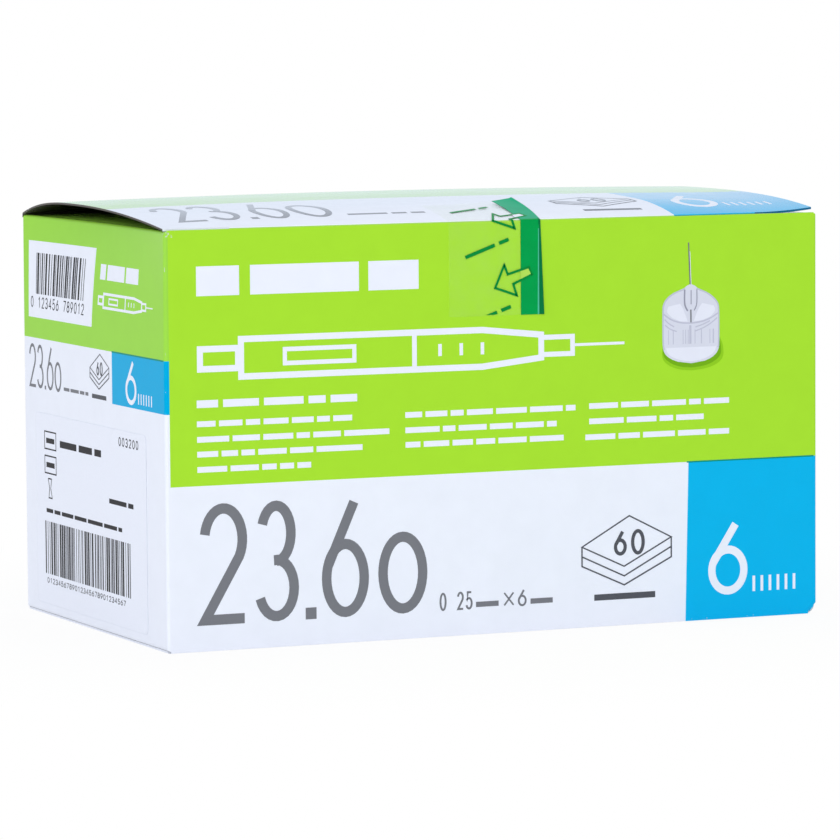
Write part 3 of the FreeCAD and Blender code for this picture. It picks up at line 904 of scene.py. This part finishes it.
# Marks that the front, an end and the lid share: a size in big figures, a digit with a row of
# ticks beside it, and two digits on a stack of sheets over a bar. A mark is given as its two u,
# its two v and the width of its line.
frontMarks = {
    "digit": (122.1, 131.4, 64.6, 80.4, 1.7),
    "ticks": (132.6, 142.2, 0.62, 76.7, 80.0),    # first and last left edge, width and two v
    "size": [("2", 6.9, 17.75, 55.5, 80.2), ("3", 19.1, 28.9, 55.5, 80.2),
             (".", 30.1, 32.5, 77.8, 80.2), ("6", 33.75, 44.2, 55.5, 80.2),
             ("0", 46.3, 57.3, 63.25, 80.2)],
    "sizeLine": 2.1,
    "sheets": (92.6, 113.4, 62.5, 77.0, 0.3),
    "pair": [("6", 100.0, 103.0, 65.4, 70.8), ("0", 104.0, 107.2, 65.4, 70.8)], "pairLine": 0.75,
    "bar": (95.4, 109.6, 78.7, 80.0), "barCells": (1, 1),
    # only on the front and the back
    "plainFields": [(6.9, 16.2, 7.4, 13.4), (18.6, 42.5, 7.4, 13.4), (44.6, 55.8, 7.4, 13.4)],
    "pen": (6.9, 102.6, 21.7, 30.6, 1.3),
    "heading": (6.75, 41.9, 34.1, 36.3, 11, 0.7),     # word bars: box, seed and share
    "columns": [                                      # left, right and middle of each row
        [(6.75, 40.75, 39.25), (6.75, 49.0, 42.4), (6.75, 43.0, 45.4), (6.75, 31.6, 48.5)],
        [(52.6, 91.25, 39.25), (52.6, 86.9, 42.4), (52.6, 88.5, 45.4)],
        [(94.4, 127.1, 39.1), (94.4, 121.1, 42.3), (93.5, 127.1, 45.6)],
    ],
    "rowHeight": 1.5, "rowShare": 0.78, "firstSeed": 20, "seedsPerColumn": 10,
    "smallSize": [("0 25", 60.0, 67.9, 76.4, 80.2, 0.42, 0.2), ("6", 77.8, 79.8, 76.6, 80.2, 0.42, 0)],
    "dashes": [(68.25, 73.4, 78.7, 79.8), (80.7, 85.8, 78.7, 79.8)],
    "cross": (74.7, 76.8, 77.2, 79.8, 0.35),
    "tealLine": (fields["sky"][0], carton["width"] - 0.8, 51.65, 51.95),
}
endMarks = {
    "digit": (62.5, 68.8, 27.3, 36.5, 0.95),
    "ticks": (69.8, 77.2, 0.42, 33.9, 36.1),
    "size": [("2", 3.5, 7.9, 27.6, 37.0), ("3", 8.5, 12.6, 27.6, 37.0), (".", 13.2, 14.0, 36.2, 37.0),
             ("6", 14.6, 18.8, 27.6, 37.0), ("0", 19.5, 23.7, 30.6, 37.0)],
    "sizeLine": 0.66,
    "sheets": (41.4, 52.8, 27.3, 34.6, 0.22),
    "pair": [("6", 45.4, 46.9, 28.9, 31.8), ("0", 47.4, 49.0, 28.9, 31.8)], "pairLine": 0.4,
    "bar": (42.5, 51.0, 35.8, 36.7), "barCells": (3, 1),
    "plainFields": [(45.8, 49.0, 8.6, 11.8), (50.0, 60.4, 8.6, 11.8), (61.4, 69.0, 8.6, 11.8)],
    "pen": (45.4, 78.2, 14.4, 17.8, 0.55),
    "words": (25.2, 40.2, 35.4, 36.8, 54, 0.5),
    "tealLine": (fields["endSky"][0], carton["depth"] - 0.8, 26.15, 26.45),
    # only on the left end
    "codeBox": (3.5, 42.2, 5.5, 21.9), "codeBars": (8.0, 37.4, 8.0, 16.8, 0.31, 61),
    "codeDigits": ("0 123456 789012", 4.9, 37.9, 17.4, 19.8, 0.26),
}
lidMarks = {
    "digit": (120.2, 130.0, -23.4, -6.5, 1.7),
    "ticks": (131.2, 141.0, 0.62, -11.6, -8.0),
    "size": [("2", 6.2, 13.2, -29.0, -7.0), ("3", 14.2, 21.2, -29.0, -7.0), (".", 22.2, 23.8, -8.6, -7.0),
             ("6", 24.8, 32.0, -28.6, -6.6), ("0", 33.4, 41.6, -22.5, -6.6)],
    "sizeLine": 1.35,
    "sheets": (93.2, 112.4, -22.6, -9.0, 0.22),
    "pair": [("6", 99.8, 102.6, -19.8, -14.8), ("0", 103.5, 106.4, -19.8, -14.8)], "pairLine": 0.6,
    "bar": (96.2, 109.6, -6.5, -5.3), "barCells": (5, 1),
    "words": (43.5, 60.8, -9.0, -7.0, 56, 0.5),
}


# The shared marks of a panel in their three inks
def sharedMarks(place, marks):
    firstTick, lastTick, wide, top, foot = marks["ticks"]
    whiteOnes = number(place, "6", *marks["digit"])
    whiteOnes += [field(place, (u, u + wide, top, foot)) for u in np.linspace(firstTick, lastTick, 6)]
    greyOnes = []
    for figure, *spot in marks["size"]:
        greyOnes += [field(place, spot)] if figure == "." \
            else number(place, figure, *spot, marks["sizeLine"])
    darkOnes = drawing(place, *marks["sheets"], sheetStack)
    for figure, *spot in marks["pair"]:
        darkOnes += number(place, figure, *spot, marks["pairLine"], 1)
    darkOnes.append(field(place, marks["bar"], 0, marks["barCells"]))
    return whiteOnes, greyOnes, darkOnes


def frontPrint(place):
    marks = frontMarks
    sharedWhite, greyOnes, darkOnes = sharedMarks(place, marks)
    whiteOnes = [field(place, spot) for spot in marks["plainFields"]]
    whiteOnes += penDrawing(place, *marks["pen"]) + wordBars(place, *marks["heading"])
    half = marks["rowHeight"] / 2
    for column, lines in enumerate(marks["columns"]):
        for row, (left, right, middle) in enumerate(lines):
            whiteOnes += wordBars(place, left, right, middle - half, middle + half,
                                  marks["firstSeed"] + marks["seedsPerColumn"] * column + row,
                                  marks["rowShare"])
    for figures in marks["smallSize"]:
        greyOnes += numberRow(place, *figures)
    greyOnes += [field(place, spot) for spot in marks["dashes"]]
    greyOnes += drawing(place, *marks["cross"], crossLines)
    return [(white, whiteOnes + sharedWhite), (grey, greyOnes), (softDark, darkOnes),
            (teal, [field(place, marks["tealLine"])])] + needlePicture(place)


# End panels: the same scheme in a smaller size. The bar code box is only on the left one.
def endPrint(place, barCode):
    marks = endMarks
    sharedWhite, greyOnes, darkOnes = sharedMarks(place, marks)
    whiteOnes = [field(place, spot, 0, (3, 1)) for spot in marks["plainFields"]]
    whiteOnes += penDrawing(place, *marks["pen"])
    inked = [(white, whiteOnes + sharedWhite), (grey, greyOnes + wordBars(place, *marks["words"])),
             (softDark, darkOnes), (teal, [field(place, marks["tealLine"])])]
    if barCode:
        inked.append((white, [field(place, marks["codeBox"], -1, (14, 6))]))
        inked.append((dark, bars(place, *marks["codeBars"], 1)
                      + numberRow(place, *marks["codeDigits"], 0.3, 1)))
    return inked


def lidPrint(place):
    whiteOnes, greyOnes, darkOnes = sharedMarks(place, lidMarks)
    return [(white, whiteOnes), (grey, greyOnes + wordBars(place, *lidMarks["words"])),
            (softDark, darkOnes)]


printPiece("frontPrint", frontPrint(onFront))
printPiece("backPrint", frontPrint(onBack))
printPiece("leftEndPrint", endPrint(onLeftEnd, True))
printPiece("rightEndPrint", endPrint(onRightEnd, False))
printPiece("lidPrint", lidPrint(onLid), lidInks)
print("prints laid")


# Data label: plain white paper, a little fibrous to the eye and softly creased at its top, with
# a printer's marks in black
paperLabel = {
    "back": 7.7, "top": 42.2, "size": (66.3, 40.7), "corner": 1.2,
    "lift": 0.035, "thickness": 0.06, "inkSunk": 0.01, "cornerSteps": 7, "grid": (40, 90),
    "creaseAt": 55.6, "creaseLean": 0.9, "creaseWidth": 0.8, "creaseReach": 2.2,
    "creaseHeight": 0.12,
    "colour": "#EAEEF9", "roughness": 0.5,
    "fibreSize": 0.4, "fibreHeight": 0.004, "fibreShade": 0.015,
}


def makeLabelPaper():
    material, tree, (fibre,) = newMaterial("labelPaper", (paperLabel["fibreSize"], 3.0))
    crease = addNode(tree, "Attribute", {"attribute_name": "wear"}).outputs["Fac"]
    tinted = mottled(tree, paperLabel["colour"], fibre, 0.3, paperLabel["fibreShade"])
    setSurface(tree, {"Roughness": paperLabel["roughness"]}, {"Base Color": tinted},
               (crease, 1.0, paperLabel["creaseHeight"]), (fibre, 0.3, paperLabel["fibreHeight"]))
    return material


# Grid of the label. Each row is drawn in at its ends by the round corner: r - sqrt(r^2 - d^2),
# with d the distance past the corner's centre. A soft crease runs in from the top edge.
def makeDataLabel():
    length, height = paperLabel["size"]
    corner = paperLabel["corner"]
    rows, columns = paperLabel["grid"]
    nearEnd = corner * (1 - np.cos(np.linspace(0, np.pi / 2, paperLabel["cornerSteps"])))
    between = np.linspace(corner, height - corner, rows)
    down = np.unique(np.concatenate([nearEnd, height - nearEnd, between]))
    past = np.maximum(0, np.maximum(corner - down, down - height + corner))
    inset = corner - np.sqrt(np.maximum(0, corner ** 2 - past ** 2))
    down, inset = down[:, None], inset[:, None]
    u = paperLabel["back"] + inset + (length - 2 * inset) * np.linspace(0, 1, columns)
    v = np.broadcast_to(paperLabel["top"] + down, u.shape)
    fromCrease = u - paperLabel["creaseAt"] + paperLabel["creaseLean"] * down
    crease = bell(fromCrease, paperLabel["creaseWidth"]) * bell(down, paperLabel["creaseReach"])
    points, faces = closedSheet(*[onLeftEnd(u, v, paperLabel["lift"] + thick)
                                  for thick in (paperLabel["thickness"], 0)])
    makePiece("dataLabel", points, faces, [makeLabelPaper()], wear=np.tile(crease.ravel(), 2),
              node="data_label", slotName="label_paper")


def onLabel(u, v, lift):
    return onLeftEnd(u, v, lift + paperLabel["lift"] + paperLabel["thickness"] - paperLabel["inkSunk"])


# What is printed on it, in the end panel's millimetres
labelMarks = {
    "frames": [(12.9, 20.0, 45.95, 49.65), (12.9, 20.0, 51.15, 54.85)], "frameLine": 0.3,
    "inFrames": [(13.9, 19.0, 47.3, 48.4), (13.9, 19.0, 52.5, 53.6)],
    "glass": [(14.9, 56.0), (17.0, 56.0), (16.4, 58.05), (17.3, 60.1), (15.2, 60.1), (15.7, 58.05)],
    "glassLine": 0.28,
    "words": [(22.5, 47.7, 46.6, 49.5, 73), (52.3, 66.5, 56.4, 58.4, 74), (13.6, 59.7, 62.0, 63.7, 75)],
    "wordShare": 0.5,
    "code": (12.7, 64.4, 65.2, 76.5, 0.3, 76),
    "digits": [("003200", 58.2, 70.3, 43.6, 45.5, 0.26),
               ("0123456789012345678901234567", 13.6, 61.8, 77.3, 78.5, 0.18, 0.25)],
}


def labelPrint(place):
    marks = [stroke(place, box(*spot), labelMarks["frameLine"], 0, True)
             for spot in labelMarks["frames"]]
    marks += [field(place, spot, 0, (2, 1)) for spot in labelMarks["inFrames"]]
    marks.append(stroke(place, labelMarks["glass"], labelMarks["glassLine"], 0, True))
    for words in labelMarks["words"]:
        marks += wordBars(place, *words, labelMarks["wordShare"])
    for digits in labelMarks["digits"]:
        marks += numberRow(place, *digits)
    return [(dark, marks + bars(place, *labelMarks["code"]))]


makeDataLabel()
printPiece("labelPrint", labelPrint(onLabel), node="data_label", slotName="label_paper")
print("data label made")


# Film seal: clear film down the front, over the fold and back over the lid, with a green stripe
# and arrows printed on it. The eye sees the board through the film and the ink deep, even and
# glossy under it. Its right side has come away, and its right rear corner stands off.
seal = {
    "left": -11.4, "stuckWidth": 20.4, "looseWidth": 1.0,
    "drop": 19.5, "reach": 14.3, "bend": 0.3,     # down the front, back over the lid, the fold
    "glue": 0.04, "film": 0.08,
    "edgeLift": 0.35, "cornerLift": 1.1,
    "stripe": (4.85, 9.0),                # X of the green stripe's two sides
    "bow": 0.6,                           # the stripe's right edge stands out on the lid, mm
    "looseAtFold": 0.35,                  # share of the loose strip's width left at the fold
    # the glint is a painted highlight line along the loose strip's bend
    "glint": 0.36, "glintAtFold": 0.4,    # bright line in it, at the bottom, and share left
    "clearColumns": 18, "stripeColumns": 9, "looseMark": 0.45,
    "rows": (24, 6, 34),                  # of the grid: front, fold and lid
    # how far over the front's edge the stripe's inks change: to the painted reflection over the lid, the
    # painted highlight and the painted shade
    "paintedReflectionFrom": 0.3, "glintTo": -1.4, "shadedFrom": -0.8, "shadedTo": 0.4,
    "inks": {
        # shadedFilm is painted shade and glintingFilm a painted highlight
        "greenFilm": "#009C4A", "shadedFilm": "#04713D", "glintingFilm": "#4DB898",
        # paintedReflectionFilm is the stripe's green made paler: painted reflection over the lid
        "paintedReflectionFilm": "#12A878",            # the stripe over the lid
        "greenFilmLine": "#078A3A",       # the arrows' outline and the bars
        "windowFilm": "#B2DD58",          # an arrow's shaft
    },
    "clearTint": "#DDEFB8", "clearShare": (0.018, 0.042), "hazeSize": 2.5,
    "roughness": 0.12, "ior": 1.12,
    "cloudSize": 3.846, "cloudShade": 0.04, "rippleHeight": 0.02,
    "repeat": (-0.43, -13.9),             # from one arrow to the next, along the seal
    "arrow": [(73.0, 13.77), (75.08, 9.08), (75.86, 11.03), (80.67, 9.66), (81.42, 11.2),
              (77.1, 13.07), (77.9, 15.44)],
    "window": [(78.75, 10.2), (80.67, 9.66), (81.42, 11.2), (78.75, 12.35)],
    "windowCells": (10, 10), "lineWidth": 0.5,
    "words": ((66.3, 7.3), (76.1, 3.8), 0.75),   # row of bars: its two ends and a bar's height
    "wordEnds": ((0.0, 0.68), (0.78, 1.0)), "wordBend": 1.0,
    "clipAt": 19.3, "leastBar": 0.05,     # down the front, where the film ends its print
    "inkShare": 0.6,                      # its slabs are thinner than the carton's
}
sealFace = -halfDepth - seal["glue"]
gained = lidLevel + seal["glue"] - frontHeight + (sealFace - lidFront) * math.tan(creaseSlope)
sealBend = gained / (math.cos(creaseSlope) - (1 - math.sin(creaseSlope)) * math.tan(creaseSlope))


# Point of the film at X, a way s along it and a lift over its inner face. Up to s = 0 it runs
# up the front, then it turns through an arc over the fold, and after the bend it follows the
# lid. The loose strip stands out in proportion to its width and to the way down, and the rear
# corner rises with the cube of the width and the square of the way back.
def sealPoint(x, s, lift):
    down = np.clip(-s, 0, seal["drop"])
    turn = np.clip(s / seal["bend"], 0, 1) * (np.pi / 2 - creaseSlope)
    share = np.clip((s - seal["bend"]) / seal["reach"], 0, 1)
    across = (x - seal["left"]) / seal["stuckWidth"]
    loose = np.clip((x - seal["left"] - seal["stuckWidth"]) / seal["looseWidth"], 0, 1)
    radius = sealBend + lift
    frontY = sealFace - lift - seal["edgeLift"] * loose * down / seal["drop"]
    arcY = sealFace + sealBend - radius * np.cos(turn)
    arcZ = frontHeight + radius * np.sin(turn)
    startY = sealFace + sealBend - radius * math.sin(creaseSlope)
    lidY = startY + share * (seal["reach"] - halfDepth - startY)
    lidZ = lidHeight(x, lidY) + seal["glue"] + seal["cornerLift"] * across ** 3 * share ** 2 \
        + lift / math.cos(creaseSlope)
    low = np.where(s < 0, down / seal["drop"], 0)
    spread = seal["looseAtFold"] + (1 - seal["looseAtFold"]) * low
    stripeRight = seal["stripe"][1]
    x = np.where(x > stripeRight, stripeRight + (x - stripeRight) * spread, x)
    inGlint = (x < stripeRight) & (x > stripeRight - seal["glint"] - 1e-6)
    glintShare = seal["glintAtFold"] + (1 - seal["glintAtFold"]) * low
    x = np.where(inGlint, stripeRight - (stripeRight - x) * glintShare, x)
    x = x + seal["bow"] * np.sin(np.pi * share) * np.clip(across, 0, 1) ** 6
    y = np.where(s <= 0, frontY, np.where(share <= 0, arcY, lidY))
    z = np.where(s <= 0, frontHeight - down, np.where(share <= 0, arcZ, lidZ))
    return np.stack([x + 0 * y, y, z], -1)


def makeClearFilm():
    material, tree, (haze,) = newMaterial("clearFilm", (seal["hazeSize"], 3.0))
    least, most = seal["clearShare"]
    veil = addNode(tree, "MapRange", {"From Min": 0.3, "From Max": 0.7, "To Min": least,
                                      "To Max": most}, {"Value": haze})
    setSurface(tree, {"Base Color": toLinear(seal["clearTint"]), "Roughness": seal["roughness"],
                      "IOR": seal["ior"]}, {"Alpha": veil})
    return material


def makeFilmInk(name, hexColour):
    material, tree, (cloud,) = newMaterial(name, (seal["cloudSize"], 2.0))
    setSurface(tree, {"Roughness": seal["roughness"], "IOR": seal["ior"]},
               {"Base Color": mottled(tree, hexColour, cloud, 0.3, seal["cloudShade"])},
               (cloud, 0.5, seal["rippleHeight"]))
    return material


filmInks = [makeFilmInk(name, colour) for name, colour in seal["inks"].items()]
green, shaded, glinting, paintedReflection, greenLine, window = range(len(filmInks))
sealRole = {"node": "seal_label", "slotName": "seal_film"}


def filmSheet(xs):
    front, fold, back = seal["rows"]
    s = np.unique(np.concatenate([np.linspace(-seal["drop"], 0, front), np.linspace(0, seal["bend"], fold),
                                  np.linspace(seal["bend"], seal["reach"] + seal["bend"], back)]))
    x, s = np.meshgrid(xs, s)
    return closedSheet(sealPoint(x, s, 0.0), sealPoint(x, s, seal["film"]))


def onSeal(u, v, lift):
    # v counts down the front, and upwards it goes on over the fold and the lid
    return sealPoint(u - halfWidth, -v, seal["film"] + lift * seal["inkShare"])


# The film, clear up to its stripe, and the stripe with the loose strip to the right of it
def makeFilm():
    stripeLeft, stripeRight = seal["stripe"]
    looseEnd = seal["left"] + seal["stuckWidth"] + seal["looseWidth"]
    points, faces = filmSheet(np.linspace(seal["left"], stripeLeft, seal["clearColumns"]))
    makePiece("sealClearFilm", points, faces, [makeClearFilm()], **sealRole)
    columns = np.linspace(stripeLeft, stripeRight - seal["glint"], seal["stripeColumns"])
    xs = np.append(columns, [stripeRight, stripeRight + seal["looseMark"], looseEnd])
    points, faces = filmSheet(xs)
    height = points[faces].mean(1)[:, 2] - frontHeight
    column = faces % len(xs)
    atGlint = (column.min(1) == len(columns) - 1) & (column.max(1) == len(columns))
    # Painted shade on the loose strip and at the fold, a painted highlight along the bend, and painted
    # reflection over the lid
    slots = np.full(len(faces), green)
    slots[column.max(1) > len(columns)] = shaded
    slots[height > seal["paintedReflectionFrom"]] = paintedReflection
    slots[atGlint & (height < seal["glintTo"])] = glinting
    slots[atGlint & (height > seal["shadedFrom"]) & (height < seal["shadedTo"])] = shaded
    makePiece("sealStripe", points, faces, filmInks[:greenLine], slots, **sealRole)


# Its print: an arrow with a clear shaft on the front and one on the lid, and slanted rows of
# bars. A bar that would lie wholly past the film's end is left out.
def makeSealPrint():
    shift = np.array(seal["repeat"])
    lines, shafts = [], []
    for step in (0, 1):
        lines.append(stroke(onSeal, np.array(seal["arrow"]) + step * shift, seal["lineWidth"], 2, True,
                            printing["fineBend"]))
        shafts.append(field(onSeal, np.array(seal["window"]) + step * shift, 1, seal["windowCells"]))
    start, end, tall = seal["words"]
    along = np.array(end) - np.array(start)
    length = np.linalg.norm(along)
    along = along / length
    for step in (-1, 0, 1):
        def slanted(a, b, lift, origin=np.array(start) + step * shift):
            v = origin[1] + a * along[1] + b * along[0]
            return onSeal(origin[0] + a * along[0] - b * along[1], np.minimum(v, seal["clipAt"]), lift)

        for left, right in seal["wordEnds"]:
            bar = stroke(slanted, [(left * length, 0), (right * length, 0)], tall, 0, False,
                         seal["wordBend"])
            if bar[0][:, 2].max() > frontHeight - seal["clipAt"] + seal["leastBar"]:
                lines.append(bar)
    makePiece("sealLines", *joined(lines), [filmInks[greenLine]], **sealRole)
    makePiece("sealWindows", *joined(shafts), [filmInks[window], inks["whiteInk"]],
              np.repeat([0, 1], len(shafts[0][1])), **sealRole)


makeFilm()
makeSealPrint()
print("film seal made")


# Floor, light and camera
stageSetup = {
    "floorSize": 60.0, "floorColour": "#F7F7F7",
    "floorGlow": 0.92,                        # the floor's own white next to the carton
    "shadowFade": (0.09, 0.16),               # metres out, where it grows to 1
    # light on the carton, what stands behind it, and what its varnish mirrors
    "room": [("#F7F9FF", 0.72), ("#FFFFFF", 1.0), ("#E2ECFB", 1.0)],
    "lamps": [  # where it stands, its size and power, aimed at the carton
        ("keyLamp", (-0.75, -1.5, 0.8), 1.0, 9.7),
        ("sideLamp", (-1.7, -0.3, 0.6), 1.0, 3.7),
        ("topLamp", (0.35, 0.2, 1.6), 0.8, 3.4),
    ],
    "lampAim": (0, 0, 0.045),
    "cameraPlace": (-0.44549, -1.01574, 0.13744),
    "yaw": -23.71, "pitch": 4.96, "roll": -0.41,
    "lens": 222.557, "sensor": 36.0,
}


# 1 for a ray from the camera, off a gloss or through film
def seenDirectly(tree):
    rays = addNode(tree, "LightPath")
    first = addNode(tree, "Math", {"operation": "MAXIMUM"},
                    {0: rays.outputs["Is Camera Ray"], 1: rays.outputs["Is Transmission Ray"]})
    return addNode(tree, "Math", {"operation": "MAXIMUM"}, {0: first, 1: rays.outputs["Is Glossy Ray"]})


# Paper sweep: matt where the carton's light and shadow fall on it, and white to the camera
def makeFloor():
    half = stageSetup["floorSize"] / 2
    mesh = bpy.data.meshes.new("floor")
    mesh.from_pydata([(-half, -half, 0), (half, -half, 0), (half, half, 0), (-half, half, 0)], [],
                     [(0, 1, 2, 3)])
    floor = addObject("floor", mesh)
    material, tree, _ = newMaterial("palePaperSweep")
    apart = addNode(tree, "VectorMath", {"operation": "LENGTH"},
                    {0: addNode(tree, "TexCoord").outputs["Object"]})
    faded = addNode(tree, "MapRange",
                    {"From Min": stageSetup["shadowFade"][0], "From Max": stageSetup["shadowFade"][1],
                     "To Min": stageSetup["floorGlow"]}, {"Value": apart.outputs["Value"]})
    paper = addNode(tree, "BsdfDiffuse", {"Color": toLinear(stageSetup["floorColour"])})
    glow = addNode(tree, "Emission", {"Color": (1, 1, 1, 1), "Strength": 1.0})
    blend = addNode(tree, "Math", {"operation": "MULTIPLY"}, {0: seenDirectly(tree), 1: faded})
    mix = addNode(tree, "MixShader", None, {0: blend, 1: paper, 2: glow})
    addNode(tree, "OutputMaterial", links={"Surface": mix})
    mesh.materials.append(material)


# White room: plain light on the carton, white where it is seen, a paler blue where the
# varnish mirrors it
def makeWorld():
    world = bpy.data.worlds.new("whiteRoom")
    bpy.context.scene.world = world
    world.use_nodes = True
    tree = world.node_tree
    tree.nodes.clear()
    light, backdrop, mirrored = [
        addNode(tree, "Background", {"Color": toLinear(colour), "Strength": strength})
        for colour, strength in stageSetup["room"]]
    rays = addNode(tree, "LightPath")
    shown = addNode(tree, "MixShader", None,
                    {0: rays.outputs["Is Glossy Ray"], 1: backdrop, 2: mirrored})
    mix = addNode(tree, "MixShader", None, {0: seenDirectly(tree), 1: light, 2: shown})
    addNode(tree, "OutputWorld", links={"Surface": mix})


def makeLamps():
    for name, place, size, power in stageSetup["lamps"]:
        lamp = bpy.data.lights.new(name, "AREA")
        lamp.shape, lamp.size, lamp.energy = "SQUARE", size, power
        holder = addObject(name, lamp)
        aim = Vector(stageSetup["lampAim"]) - Vector(place)
        holder.matrix_world = Matrix.Translation(place) \
            @ aim.to_track_quat("-Z", "Y").to_matrix().to_4x4()
        holder.visible_glossy = False


def makeCamera():
    camera = bpy.data.cameras.new("camera")
    camera.lens, camera.sensor_width = stageSetup["lens"], stageSetup["sensor"]
    camera.sensor_fit = "HORIZONTAL"
    camera.clip_start, camera.clip_end = 0.05, 200
    turn = Matrix.Rotation(math.radians(stageSetup["yaw"]), 4, "Z") \
        @ Matrix.Rotation(math.radians(90 - stageSetup["pitch"]), 4, "X") \
        @ Matrix.Rotation(math.radians(stageSetup["roll"]), 4, "Z")
    holder = addObject("camera", camera)
    holder.matrix_world = Matrix.Translation(stageSetup["cameraPlace"]) @ turn
    bpy.context.scene.camera = holder


makeFloor()
makeWorld()
makeLamps()
makeCamera()
bpy.context.scene.view_settings.view_transform = "Standard"
print("stage ready")
